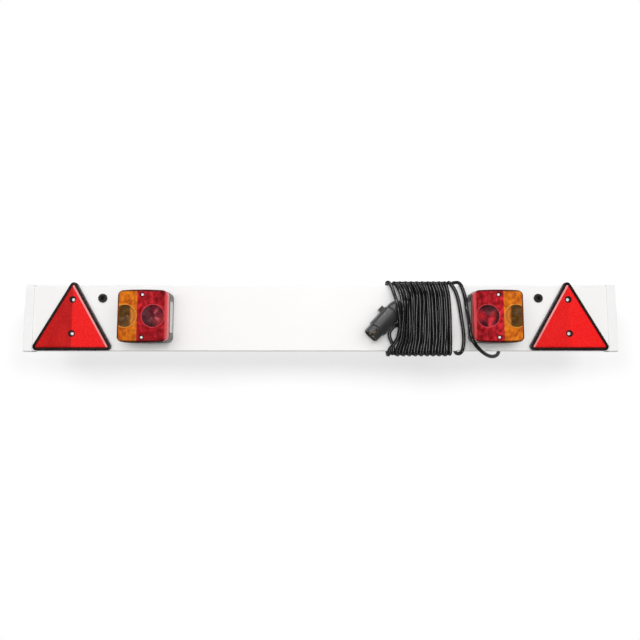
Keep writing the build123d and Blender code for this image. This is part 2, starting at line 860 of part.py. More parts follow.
# Winding: a sleeve round the plank, swollen over the plug's rear, with a pocket for the plug
with BuildPart() as cable_winding:
    inner_thickness = board_thickness + 2 * winding_gap
    inner_height = board_height + 2 * winding_gap
    with BuildSketch(Plane.YZ.offset(winding_left)):
        with Locations((-board_thickness / 2, board_mid)):
            RectangleRounded(
                inner_thickness + 2 * cable_diameter,
                inner_height + 2 * cable_diameter,
                winding_corner,
            )
    extrude(amount=winding_length)
    for (left, right, low, high), height in ((swell_foot, cable_diameter), (swell_crown, swell_top)):
        with BuildSketch(front(height)):
            with Locations((winding_left + (left + right) / 2, (low + high) / 2)):
                Rectangle(right - left, high - low)
    loft()
    with BuildSketch(Plane.YZ.offset(winding_left)):
        with Locations((-board_thickness / 2, board_mid)):
            RectangleRounded(inner_thickness, inner_height, board_edge + winding_gap)
    extrude(amount=winding_length, mode=Mode.SUBTRACT)
    with BuildSketch(plug_half):
        with BuildLine():
            Polyline(
                (0, 0),
                (plug_body_diameter / 2 + plug_gap, 0),
                (plug_body_diameter / 2 + plug_gap, plug_body_end + plug_gap),
                (cap_diameter / 2 + plug_gap, plug_body_end + plug_gap),
                (cap_diameter / 2 + plug_gap, cap_dome_end + plug_gap),
                (gland_diameter / 2 + plug_gap, cap_dome_end + plug_gap),
                (gland_diameter / 2 + plug_gap, gland_end),
                (0, gland_end),
                close=True,
            )
        make_face()
    revolve(axis=plug_line, mode=Mode.SUBTRACT)
write(cable_winding, "cable_winding")

# Plug body with its keyway and catch lug
with BuildPart() as plug_body:
    with BuildSketch(plug_half):
        with BuildLine():
            Polyline(
                (plug_bore_diameter / 2, 0),
                (plug_barrel_diameter / 2 - plug_edge, 0),
                (plug_barrel_diameter / 2, plug_edge),
                (plug_barrel_diameter / 2, plug_barrel_length),
                (plug_body_diameter / 2 - plug_edge, plug_barrel_length),
                (plug_body_diameter / 2, plug_barrel_length + plug_edge),
                (plug_body_diameter / 2, plug_body_end - plug_edge),
                (plug_body_diameter / 2 - plug_edge, plug_body_end),
                (plug_rear_bore_diameter / 2, plug_body_end),
                (plug_rear_bore_diameter / 2, plug_seat),
                (plug_bore_diameter / 2, plug_seat),
                close=True,
            )
        make_face()
    revolve(axis=plug_line)
    with BuildSketch(plug_station(0)):
        with Locations((0, plug_barrel_diameter / 2)):
            Rectangle(key_width, plug_barrel_diameter - plug_bore_diameter + plug_edge)
    extrude(amount=key_length, mode=Mode.SUBTRACT)
    with BuildSketch(plug_station(lug_start)):
        with Locations((plug_body_diameter / 2 + (lug_rise - lug_root) / 2, 0)):
            RectangleRounded(lug_rise + lug_root, lug_width, lug_edge / 2)
    extrude(amount=lug_length)
write(plug_body, "plug_body")

# Contact carrier, seated on the step inside the body
pin_places = [(0, 0)] + [
    (pin_circle / 2 * cos(radians(60 * step)), pin_circle / 2 * sin(radians(60 * step)))
    for step in range(6)
]
with BuildPart() as plug_insert:
    with BuildSketch(plug_station(insert_face)):
        Circle(plug_bore_diameter / 2 - insert_gap)
    extrude(amount=plug_seat - insert_face)
    with BuildSketch(plug_station(plug_seat)):
        Circle(plug_rear_bore_diameter / 2 - insert_gap)
    extrude(amount=insert_flange)
    with BuildSketch(plug_station(insert_face)):
        with Locations(*pin_places):
            Circle(pin_diameter / 2 + pin_gap)
    extrude(amount=plug_seat + insert_flange - insert_face, mode=Mode.SUBTRACT)
write(plug_insert, "plug_insert")

# Seven contacts, the middle one set further back
with BuildPart() as plug_pins:
    for tip, places in ((pin_tip, pin_places[1:]), (centre_pin_tip, pin_places[:1])):
        with BuildSketch(plug_station(tip)):
            with Locations(*places):
                Circle(pin_diameter / 2)
        extrude(amount=pin_tail - tip)
        fillet(plug_pins.edges(Select.LAST).group_by(plug_line)[0], pin_round)
write(plug_pins, "plug_pins")

# Rear cap: spigot in the body, a waist, a round dome and a gland for the cable
spigot_radius = plug_rear_bore_diameter / 2 - insert_gap
cable_hole = cable_diameter / 2 + cable_gap
dome_start = (cap_diameter / 2, cap_shoulder)
dome_end = (cap_dome_diameter / 2, cap_dome_end)
dome_narrowing = (cap_diameter - cap_dome_diameter) / 2
dome_length = cap_dome_end - cap_shoulder
dome_radius = (dome_narrowing**2 + dome_length**2) / (2 * dome_narrowing)
with BuildPart() as plug_rear_cap:
    with BuildSketch(plug_half):
        with BuildLine():
            Polyline(
                dome_end,
                (gland_diameter / 2, cap_dome_end),
                (gland_diameter / 2, gland_end),
                (cable_hole, gland_end),
                (cable_hole, cap_cavity_end),
                (cap_cavity_diameter / 2, cap_cavity_end),
                (cap_cavity_diameter / 2, plug_body_end - cap_spigot),
                (spigot_radius, plug_body_end - cap_spigot),
                (spigot_radius, plug_body_end),
                (cap_waist_diameter / 2, plug_body_end),
                (cap_waist_diameter / 2, cap_waist_end),
                (cap_diameter / 2 - plug_edge, cap_waist_end),
                (cap_diameter / 2, cap_waist_end + plug_edge),
                dome_start,
            )
            RadiusArc(dome_end, dome_start, dome_radius)
        make_face()
    revolve(axis=plug_line)
write(plug_rear_cap, "plug_rear_cap")

# End of the cable inside the plug
with BuildPart() as plug_cable_end:
    with BuildSketch(plug_station(cable_inside)):
        Circle(cable_diameter / 2)
    extrude(amount=gland_end - cable_inside)
write(plug_cable_end, "plug_cable_end")
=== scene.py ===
"""Trailer lighting board: cable, lens optics, finishes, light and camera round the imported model.

Metres. X runs along the plank, the lamps face -Y and Z is up. Places on the part, the cable's route and the
lens optics are in mm, with heights as a rise from the plank's centre line, and at() turns them into metres.
"""
from math import cos, pi, radians, sin

import bmesh
import bpy
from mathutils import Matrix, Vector


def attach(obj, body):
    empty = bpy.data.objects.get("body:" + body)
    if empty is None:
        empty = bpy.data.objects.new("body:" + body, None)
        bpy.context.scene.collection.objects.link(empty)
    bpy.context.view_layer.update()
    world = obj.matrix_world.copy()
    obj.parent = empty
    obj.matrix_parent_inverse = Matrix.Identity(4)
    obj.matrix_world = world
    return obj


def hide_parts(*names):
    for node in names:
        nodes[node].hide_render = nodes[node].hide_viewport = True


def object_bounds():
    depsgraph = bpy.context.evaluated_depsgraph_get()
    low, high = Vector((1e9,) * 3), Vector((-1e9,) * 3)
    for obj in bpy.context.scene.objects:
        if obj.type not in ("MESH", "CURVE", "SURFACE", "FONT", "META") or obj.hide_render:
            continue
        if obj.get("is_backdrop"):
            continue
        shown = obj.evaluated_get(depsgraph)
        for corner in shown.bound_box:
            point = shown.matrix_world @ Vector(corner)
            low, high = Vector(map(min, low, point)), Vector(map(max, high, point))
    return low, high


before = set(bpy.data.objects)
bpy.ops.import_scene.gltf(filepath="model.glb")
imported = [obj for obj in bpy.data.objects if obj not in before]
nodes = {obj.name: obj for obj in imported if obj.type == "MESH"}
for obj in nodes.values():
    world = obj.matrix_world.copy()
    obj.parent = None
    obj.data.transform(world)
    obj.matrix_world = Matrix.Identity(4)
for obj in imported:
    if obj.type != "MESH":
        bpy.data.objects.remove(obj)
cad_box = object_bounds()
scene = bpy.context.scene

# The plank's centre line, front face and half length, and the middles of the triangles and lamps on it
MIDDLE = -41
FRONT = -20
HALF_LENGTH = 610
TRIANGLE_X = 508.5
LAMP_X = 352

# A lamp's lens face in front of the plank, and what lies outward or above its middle
LAMP_FACE = 50
LAMP_SEAM = 9.5
LAMP_EDGE = 45
SCREW_RISE = 42.3
STOP_OPTIC, TURN_OPTIC = -22, 33.5
OPTIC_RADIUS = 22.1


def at(x, y, rise):
    """A point in metres from mm along the plank, towards its back and above its centre line."""
    return Vector((x, y, rise + MIDDLE)) / 1000


def add(name, data):
    """A new object in the scene."""
    made = bpy.data.objects.new(name, data)
    scene.collection.objects.link(made)
    return made


def aim(made, place, towards):
    """Puts a camera or a light at a place, pointing at another."""
    made.location = place
    made.rotation_euler = (Vector(towards) - Vector(place)).to_track_quat("-Z", "Y").to_euler()


# Camera: a little below the plank's middle, looking up at it
PIXELS = 640
CAMERA_DISTANCE, CAMERA_LEAN = 1.1, radians(5)
target = at(0, FRONT, 0)
camera = add("camera", bpy.data.cameras.new("camera"))
aim(camera, target + CAMERA_DISTANCE * Vector((0, -cos(CAMERA_LEAN), -sin(CAMERA_LEAN))), target)
camera.data.sensor_width = 36
camera.data.lens = 30.02
camera.data.shift_x = -0.5 / PIXELS
camera.data.shift_y = -2 / PIXELS
scene.camera = camera

# Loose cable from the exit behind the right lamp to the winding: x, y, rise
tail = [
    (380, 11, 33), (380, 24.5, 33), (380.5, 37.5, 25.5), (381.5, 44.5, 12.5), (383, 46, -4),
    (384, 44.5, -22), (384, 40, -40), (382.5, 31.5, -56.5), (378, 18, -69.5), (368.5, 2, -76.5),
    (354, -15.5, -79.8), (337.5, -34.5, -77.5), (319, -54, -69), (302.4, -69, -56), (293.2, -74.5, -39),
    (292.4, -70.5, -21), (295.6, -55, -6), (297.6, -40, 8), (298.2, -30.5, 24), (297.2, -27, 43),
    (293, -26.4, 58.5), (287.6, -25, 72.6), (279.6, -12, 75.4), (275.8, 5, 74), (277.6, 6.6, 52),
    (280, 9.2, 24), (281.6, 9.6, -7), (282.8, 8, -36), (282.4, 6, -57), (282, 4.8, -73.2),
    (288, -24.8, -73.2), (292.6, -26.4, -54), (292.2, -27.9, -30), (288.6, -28.2, -5), (286, -27.2, 20),
    (282, -26, 43), (276, -25.2, 60.5), (265.6, -24.6, 74.5),
]

# Front strands of the winding, right to left: x low, half-way and high, the largest lift and its rise
strands = [
    (265.4, 265.0, 263.3, 8.0, 0), (258.6, 260.0, 259.3, 4.2, 0), (253.8, 255.2, 253.7, 9.2, 0),
    (248.6, 249.8, 248.6, 4.2, 0), (243.1, 244.6, 243.8, 9.2, 0), (237.4, 237.6, 237.0, 4.4, 0),
    (230.3, 229.9, 228.5, 9.0, 0), (224.0, 224.9, 224.0, 4.2, 0), (218.4, 220.2, 219.6, 9.4, 0),
    (213.4, 215.5, 215.6, 4.4, 0), (208.6, 210.0, 211.9, 11.5, 20), (202.6, 203.4, 203.9, 13.5, 50),
    (194.6, 195.6, 197.3, 17.0, 52), (190.4, 190.9, 191.2, 10.0, 30), (185.6, 186.3, 185.9, 20.5, 45),
    (180.8, 182.2, 181.2, 12.0, 30), (174.6, 176.4, 175.2, 27.0, 34), (169.0, 171.6, 170.2, 22.0, 36),
    (163.0, 166.2, 164.4, 36.5, 16),
]

# First and last x of the winding's turns at the plank's bottom and top
BOTTOM_X, TOP_X = (264.2, 153.5), (256.9, 152.6)

# From the plank to the cable's middle, in front and behind, and how much more behind for a turn further out
FRONT_GAP, BACK_GAP, BACK_SPREAD = 4.2, 4.3, 1.3

# A turn's bends round the plank's edges, its height over them and its drift along them
EDGE_Y, EDGE_RISE = -24.5, 72.4
EDGE_MIDDLE, EDGE_CROWN, EDGE_DRIFT = -10, 0.2, 0.6

# How much further out every second turn goes at the bottom and at the top
SECOND_LAYER, TOP_LAYER = 2.8, 0.6

# A turn's heights behind the plank and in front of it
BACK_RISES = (57, 36, 12, -12, -36, -57)
FRONT_RISES = (-60, -45, -30, -14, 2, 18, 34, 48, 60)

# A front strand's ends, the rises of its low and high x, and its lean to the left above those
STRAND_END, LOW_RISE, HIGH_RISE = 72, -45, 38
LEAN = ((52, 0.12), (62, 0.45))

# A strand that is lifted more than this rises evenly, and any other this much more steeply
GENTLE_LIFT, STEEP = 12, 2.2

# A strand's slight wander, its change from turn to turn and the rise that it takes
WANDER, WANDER_TURN, WANDER_RISE = 0.35, 1.9, 17

# Last strand, over the back of the plug and round the plank, and the loop that leads into the plug
last_strand = [
    (139, -27, -75.6), (138.8, -31, -66), (146.6, -34, -57), (154.8, -38.6, -45), (158.8, -44.6, -30),
    (159.3, -48.5, -18), (158.3, -53.1, -6), (156.0, -58.2, 6), (153.9, -59.8, 18), (152.3, -54, 30),
    (150.4, -45, 42), (148.2, -36.6, 54), (146, -30.3, 64), (141.5, -25.5, 73), (138.4, -18, 74.8),
    (139.2, -4, 74.4), (140.6, 6.4, 70), (142, 12.4, 57), (143.4, 16, 36), (144.8, 16.4, 12),
    (146.2, 16.4, -12), (147.4, 15.4, -36), (148.4, 11.4, -57), (148.8, 4.6, -72), (148.4, -10, -73.4),
]
loop = [
    (148.0, EDGE_Y, -EDGE_RISE), (149.6, -24.3, -62), (146.8, -24.5, -53), (142.8, -24.8, -44.5),
    (140.6, -25, -36), (141.8, -25, -28.5), (146, -25, -22), (152, -25, -17.2), (158.8, -24.6, -13.7),
    (169, -24.3, -9), (181, -24.2, -3.5), (192, -24.2, 5), (200, -24.2, 17), (203.5, -24.4, 31),
    (201.5, -25.2, 45), (193.5, -27.2, 54.5), (183.5, -30.6, 52.5), (176, -32.8, 42.2),
    (169.3, -34.2, 34.8), (163.9, -35.3, 29.1), (155.7, -37, 20.4), (147.5, -38.7, 11.7),
]


def between(ends, share):
    """A value part of the way from one end to the other."""
    return ends[0] + share * (ends[1] - ends[0])


def over_and_round(x_from, x_to, proud):
    """Over the top edge, down the back and under the bottom edge, from one front strand to the next."""
    back, painted_outline_shade, top = BACK_GAP + BACK_SPREAD * proud, EDGE_RISE + proud, EDGE_RISE + min(proud, TOP_LAYER)
    start, end = x_from - 2 * EDGE_DRIFT, x_to + 2 * EDGE_DRIFT
    points = [(x_from - EDGE_DRIFT, EDGE_MIDDLE, top + EDGE_CROWN), (start, back + EDGE_CROWN, top)]
    for rise in BACK_RISES:
        share = (BACK_RISES[0] - rise) / (BACK_RISES[0] - BACK_RISES[-1])
        points.append((between((start, end), share), back, rise))
    points.append((end, back + EDGE_CROWN, -painted_outline_shade))
    return points + [(x_to + EDGE_DRIFT, EDGE_MIDDLE, -painted_outline_shade - EDGE_CROWN)]


def front_strand(turn, low, mid, high, lift, lift_rise, proud):
    """Up the front of the plank, leaning left near the top edge."""
    along = turn / (len(strands) - 1)
    bottom, top = between(BOTTOM_X, along), between(TOP_X, along)
    knots = [(-STRAND_END, bottom), (LOW_RISE, low), (0, mid), (HIGH_RISE, high)]
    knots += [(rise, between((high, top), share)) for rise, share in LEAN] + [(STRAND_END, top)]
    steep = 1 if lift > GENTLE_LIFT else STEEP
    points = [(bottom, EDGE_Y - proud, -EDGE_RISE - proud)]
    for rise in FRONT_RISES:
        below = max(knot for knot in knots if knot[0] <= rise)
        above = min(knot for knot in knots if knot[0] > rise)
        x = between((below[1], above[1]), (rise - below[0]) / (above[0] - below[0]))
        x += WANDER * sin(WANDER_TURN * turn + rise / WANDER_RISE)
        tent = min((STRAND_END + rise) / (STRAND_END + lift_rise),
                   (STRAND_END - rise) / (STRAND_END - lift_rise))
        points.append((x, FRONT - between((FRONT_GAP, lift), min(1, steep * tent)), rise))
    return points + [(top, EDGE_Y - proud, EDGE_RISE + min(proud, TOP_LAYER))]


route = list(tail)
proud = 0
for turn, strand in enumerate(strands):
    route += over_and_round(route[-1][0], between(BOTTOM_X, turn / (len(strands) - 1)), proud)
    proud = 0 if turn % 2 else SECOND_LAYER
    route += front_strand(turn, *strand, proud)
route += over_and_round(route[-1][0], last_strand[0][0], proud) + last_strand + loop

# The cable's diameter in metres.
CABLE = 0.0075
curve = bpy.data.curves.new("cable", "CURVE")
curve.dimensions = "3D"
curve.bevel_depth = 1
curve.bevel_resolution = 4
curve.resolution_u = 6
curve.use_fill_caps = True
spline = curve.splines.new("NURBS")
spline.points.add(len(route) - 1)
for point, place in zip(spline.points, route):
    point.co = (*at(*place), 1)
    point.radius = CABLE / 2
spline.order_u = 3
spline.use_endpoint_u = True
cable = add("cable", curve)
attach(cable, "root")
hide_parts("cable_tail", "cable_winding", "plug_cable_end")

BLACK, WHITE = (0, 0, 0), (1, 1, 1)


class Surface:
    """A material whose colour, roughness and relief are built from nodes in the part's own coordinates."""

    def __init__(self, name, **plain):
        self.material = bpy.data.materials.new(name)
        self.material.use_nodes = True
        self.tree = self.material.node_tree
        self.shader = self.tree.nodes["Principled BSDF"]
        for socket, value in plain.items():
            self.shader.inputs[socket.replace("_", " ").title().replace("Ior", "IOR")].default_value = value
        self.place = self.node("ShaderNodeTexCoord").outputs["Object"]
        split = self.node("ShaderNodeSeparateXYZ")
        self.link(self.place, split.inputs[0])
        self.x, self.y, self.z = split.outputs
        self.rise = self.math("SUBTRACT", self.z, MIDDLE / 1000)

    def node(self, kind, **settings):
        made = self.tree.nodes.new(kind)
        for name, value in settings.items():
            setattr(made, name, value)
        return made

    def link(self, source, socket):
        self.tree.links.new(source, socket)

    def feed(self, socket, value):
        """Links a socket, or sets a plain number or colour on it."""
        if isinstance(value, bpy.types.NodeSocket):
            self.link(value, socket)
        else:
            socket.default_value = value

    def math(self, operation, first, second=0.0):
        made = self.node("ShaderNodeMath", operation=operation)
        self.feed(made.inputs[0], first)
        self.feed(made.inputs[1], second)
        return made.outputs[0]

    def times(self, first, second):
        return self.math("MULTIPLY", first, second)

    def most(self, first, *others):
        """The largest of some values."""
        for other in others:
            first = self.math("MAXIMUM", first, other)
        return first

    def near(self, *offsets):
        """Distance from the point where all the given offsets are zero."""
        total = 0.0
        for offset in offsets:
            total = self.math("ADD", total, self.times(offset, offset))
        return self.math("SQRT", total)

    def noise(self, scale, detail=3.0, stretch=(1, 1, 1)):
        mapped = self.node("ShaderNodeMapping")
        mapped.inputs["Scale"].default_value = stretch
        self.link(self.place, mapped.inputs["Vector"])
        made = self.node("ShaderNodeTexNoise")
        made.inputs["Scale"].default_value = scale
        made.inputs["Detail"].default_value = detail
        self.link(mapped.outputs[0], made.inputs["Vector"])
        return made.outputs[0]

    def wave(self, along, pitch):
        """A soft ridge pattern of this pitch, from 0 to 1."""
        return self.spread(self.math("SINE", self.times(along, 2 * pi / pitch)), (-1, 1), (0, 1))

    def spread(self, value, old, new):
        """Maps a value's range onto another, clamped."""
        made = self.node("ShaderNodeMapRange")
        for socket, number in zip(made.inputs[1:5], (*old, *new)):
            socket.default_value = number
        self.link(value, made.inputs[0])
        return made.outputs[0]

    def band(self, value, rising, falling):
        """1 between two soft edges and 0 outside them."""
        return self.times(self.spread(value, rising, (0, 1)), self.spread(value, falling, (1, 0)))

    def ramp(self, value, *stops):
        made = self.node("ShaderNodeValToRGB")
        while len(made.color_ramp.elements) < len(stops):
            made.color_ramp.elements.new(0.5)
        for element, (position, colour) in zip(made.color_ramp.elements, stops):
            element.position = position
            element.color = (*colour, 1)
        self.link(value, made.inputs[0])
        return made.outputs[0]

    def mix(self, share, first, second, blend="MIX"):
        made = self.node("ShaderNodeMix", data_type="RGBA", blend_type=blend)
        self.feed(made.inputs[0], share)
        for socket, colour in ((made.inputs[6], first), (made.inputs[7], second)):
            self.feed(socket, (*colour, 1) if isinstance(colour, tuple) else colour)
        return made.outputs[2]

    def shaded(self, colour, painted_shade):
        """A colour multiplied by another."""
        return self.mix(1.0, colour, painted_shade, "MULTIPLY")

    def colour(self, value):
        self.link(value, self.shader.inputs["Base Color"])

    def roughness(self, value, low, high):
        self.link(self.spread(value, (0.3, 0.7), (low, high)), self.shader.inputs["Roughness"])

    def relief(self, height, depth, strength=1.0):
        made = self.node("ShaderNodeBump")
        made.inputs["Strength"].default_value = strength
        made.inputs["Distance"].default_value = depth
        self.link(height, made.inputs["Height"])
        self.link(made.outputs[0], self.shader.inputs["Normal"])


def moulded(name, dark, light, rough, grain=900, depth=0.00004, patch=60, **plain):
    """Moulded plastic or rubber: a faintly uneven colour, a fine grain and uneven gloss."""
    made = Surface(name, **plain)
    made.colour(made.ramp(made.noise(patch, detail=4), (0.3, dark), (0.7, light)))
    made.roughness(made.noise(patch * 3), *rough)
    made.relief(made.noise(grain, detail=2), depth)
    return made.material


def metal(name, dark, light, rough, metallic=1.0):
    """Plain metal with fine scratches and dull patches."""
    made = Surface(name, metallic=metallic)
    scratch = made.noise(scale=600)
    made.colour(made.ramp(made.noise(scale=160, detail=4), (0.3, dark), (0.7, light)))
    made.roughness(scratch, *rough)
    made.relief(scratch, depth=0.00003)
    return made.material


def plank_finish():
    """White extruded plastic with faint drawing lines along the plank."""
    made = Surface("board_white", specular_ior_level=0.12)
    lines = made.noise(scale=700, detail=2, stretch=(0.004, 1, 1))
    tone = made.mix(0.3, made.noise(scale=7, detail=4), lines)
    made.colour(made.ramp(tone, (0.3, (0.925, 0.915, 0.908)), (0.7, (0.95, 0.942, 0.936))))
    made.roughness(made.noise(scale=25, detail=4), low=0.36, high=0.48)
    made.relief(lines, depth=0.00003, strength=0.6)
    return made.material


def reflector_finish(name, sign, bright, painted_shade):
    """Red prismatic reflector: small three-sided prisms, painted shade on the left half and a painted glint
    along the inboard edge.
    """
    made = Surface(name, ior=1.5, specular_ior_level=0.25, coat_weight=0.15, coat_roughness=0.12)
    cos_60, sin_60 = 0.5, 0.866
    prism_pitch, column_pitch, ridge = 0.0026, 0.0105, 0.0004
    across = made.math("SUBTRACT", made.x, sign * TRIANGLE_X / 1000)
    rows = [made.wave(across, prism_pitch)]
    for slope in (cos_60, -cos_60):
        slant = made.math("ADD", made.times(across, slope), made.times(made.z, sin_60))
        rows.append(made.wave(slant, prism_pitch))
    prisms = made.most(*rows)
    columns = made.spread(made.wave(across, column_pitch), (0, 1), (0, 0.25))
    tone = made.mix(columns, bright, (0.86, 0.004, 0.004))
    # Painted shade: the left half darker by the given share
    left = made.spread(across, (-ridge, ridge), (1, 0))
    half = made.mix(left, tone, made.shaded(tone, (painted_shade, painted_shade, painted_shade)))
    tips = made.spread(prisms, (0.6, 1), (0, 0.25))
    facets = made.mix(tips, half, made.shaded(half, (0.78, 0.7, 0.7)))
    patches = made.spread(made.noise(scale=26), (0.4, 0.7), (0, 0.3))
    glow = made.mix(patches, facets, (0.98, 0.012, 0.01))
    # Painted highlight: a pale glint along the inboard edge
    inboard = made.math("ADD", made.times(across, -sign * sin_60), made.times(made.rise, cos_60))
    edge = made.spread(inboard, (0.0314, 0.0321), (0, 0.8))
    made.colour(made.mix(edge, glow, (0.92, 0.4, 0.4)))
    made.roughness(made.noise(scale=300, detail=2), low=0.22, high=0.34)
    made.relief(prisms, depth=0.0002, strength=0.25)
    return made.material


def lamp_axes(made):
    """Distance outward from the middle of the nearer lamp, and from the nearer of its screws."""
    outward = made.math("SUBTRACT", made.math("ABSOLUTE", made.x), LAMP_X / 1000)
    screw_rise = made.math("SUBTRACT", made.math("ABSOLUTE", made.rise), SCREW_RISE / 1000)
    return outward, made.near(outward, screw_rise)


def screw_finish():
    """Bright screw heads, with painted shade darkening them towards the walls of their wells."""
    made = Surface("screw_steel", metallic=0.15)
    scratch = made.noise(scale=600)
    head = made.ramp(made.noise(scale=160, detail=4), (0.3, (0.9, 0.9, 0.89)), (0.7, (0.97, 0.97, 0.96)))
    # Painted shade towards the walls of the wells
    painted_well_shade = made.spread(lamp_axes(made)[1], (0.0021, 0.0029), (0, 0.9))
    made.colour(made.mix(painted_well_shade, head, (0.03, 0.02, 0.02)))
    made.roughness(scratch, low=0.48, high=0.6)
    made.relief(scratch, depth=0.00003)
    return made.material


def lens_finish(name, optic, tones, edge):
    """Coloured lens: fine flutes, a pale optic ring as painted highlight, dark screw wells and outline as
    painted shade, and an inboard wall painted paler as light.
    """
    made = Surface(name, ior=1.49, specular_ior_level=0.3, coat_weight=0.1, coat_roughness=0.06)
    deep, middle, bright, pale, foot = tones
    outward, from_screw = lamp_axes(made)
    height = made.math("SUBTRACT", made.times(made.y, -1), -FRONT / 1000)
    flutes = made.wave(outward, pitch=0.0031)
    cloud = made.noise(scale=140, detail=5, stretch=(1, 1, 0.8))
    body = made.ramp(made.mix(0.06, cloud, flutes), (0.34, deep), (0.5, middle), (0.68, bright))

    # Painted light brighter towards the seam, and painted shade low on the left lamp, mostly in the red
    glow = made.spread(outward, (-LAMP_EDGE / 1000, LAMP_SEAM / 1000), (0.55, 1.0))
    body = made.shaded(body, made.ramp(glow, (0.0, BLACK), (1.0, WHITE)))
    # Painted shade: darker low on the left lamp, mostly in the red
    left = made.spread(made.x, (-0.01, 0.01), (0.7, 0))
    low = made.times(made.spread(made.rise, (-0.034, -0.026), (1, 0)), left)
    red_part = made.times(made.spread(outward, (-0.03, -0.02), (0.3, 1)),
                          made.spread(outward, (0.003, 0.01), (1, 0.35)))
    body = made.mix(made.times(low, red_part), body, deep)

    # Pale ring round the optic as a painted highlight, and dark screw wells as painted shade
    radius = made.near(made.math("SUBTRACT", outward, optic / 1000), made.rise)
    ring = made.band(radius, (0.0217, 0.0223), (0.0233, 0.0239))
    body = made.mix(made.times(ring, 0.5), body, pale)
    # Painted shade: dark screw wells
    body = made.mix(made.spread(from_screw, (0.0043, 0.0053), (0.92, 0)), body, edge)

    # Dark outline as painted shade, faint inboard, below which the outer and upper walls keep the lens colour
    painted_outline_shade = made.most(
        made.spread(height, (0.0481, 0.0494), (0.9, 0)),
        made.spread(outward, (0.0448, 0.0456), (0, 0.85)),
        made.spread(made.math("ABSOLUTE", made.rise), (0.0483, 0.0491), (0, 0.85)),
    )
    inner = made.spread(outward, (-0.047, -0.0455), (0.15, 1))
    outer = made.most(*(made.spread(way, (0.03, 0.04), (0, 1)) for way in (outward, made.rise)))
    sides = made.times(outer, made.spread(height, (0.0455, 0.0468), (0.8, 0)))
    painted_outline_shade = made.times(made.times(painted_outline_shade, inner), made.math("SUBTRACT", 1.0, sides))
    body = made.mix(painted_outline_shade, body, edge)

    # Inboard wall painted paler as light, more so towards its foot, and a painted highlight line along its
    # edge
    wall = made.spread(outward, (-0.0466, -0.0458), (0.9, 0))
    body = made.mix(wall, body, made.mix(made.spread(height, (0.012, 0.046), (1, 0)), pale, foot))
    # Painted highlight: a pale line along the wall's edge
    line = made.band(outward, (-0.0464, -0.0456), (-0.0448, -0.044))
    made.colour(made.mix(made.times(line, 0.5), body, pale))
    made.roughness(made.noise(scale=90), low=0.1, high=0.2)
    made.relief(flutes, depth=0.0001, strength=0.2)
    return made.material


def optic_finish(name):
    """Faceted lens optic: each facet's tint, painted as reflection and shade, with a little mottling."""
    made = Surface(name, ior=1.49, specular_ior_level=0.2, coat_weight=0.05, coat_roughness=0.1)
    tint = made.node("ShaderNodeVertexColor", layer_name="tint").outputs[0]
    mottle = made.ramp(made.noise(scale=420), (0.3, (0.8, 0.8, 0.8)), (0.7, WHITE))
    made.colour(made.shaded(tint, mottle))
    made.roughness(made.noise(scale=200, detail=2), low=0.22, high=0.36)
    made.relief(made.noise(scale=900, detail=2), depth=0.00002)
    return made.material


def window_finish():
    """Milky number-plate window with upright flutes."""
    made = Surface("window_clear", ior=1.49, coat_weight=0.3, coat_roughness=0.1)
    flutes = made.wave(made.y, pitch=0.0024)
    tone = made.mix(0.4, made.noise(scale=60), flutes)
    made.colour(made.ramp(tone, (0.25, (0.7, 0.69, 0.66)), (0.75, (0.92, 0.91, 0.88))))
    made.roughness(made.noise(scale=80, detail=2), low=0.16, high=0.3)
    made.relief(flutes, depth=0.0002, strength=0.5)
    return made.material


def glass_finish():
    """Thin clear bulb glass, a little uneven."""
    made = Surface("bulb_glass", transmission_weight=0.9, ior=1.1)
    cloud = made.noise(scale=120)
    made.colour(made.ramp(cloud, (0.3, (0.9, 0.9, 0.88)), (0.7, (0.98, 0.98, 0.97))))
    made.roughness(cloud, low=0.02, high=0.07)
    return made.material
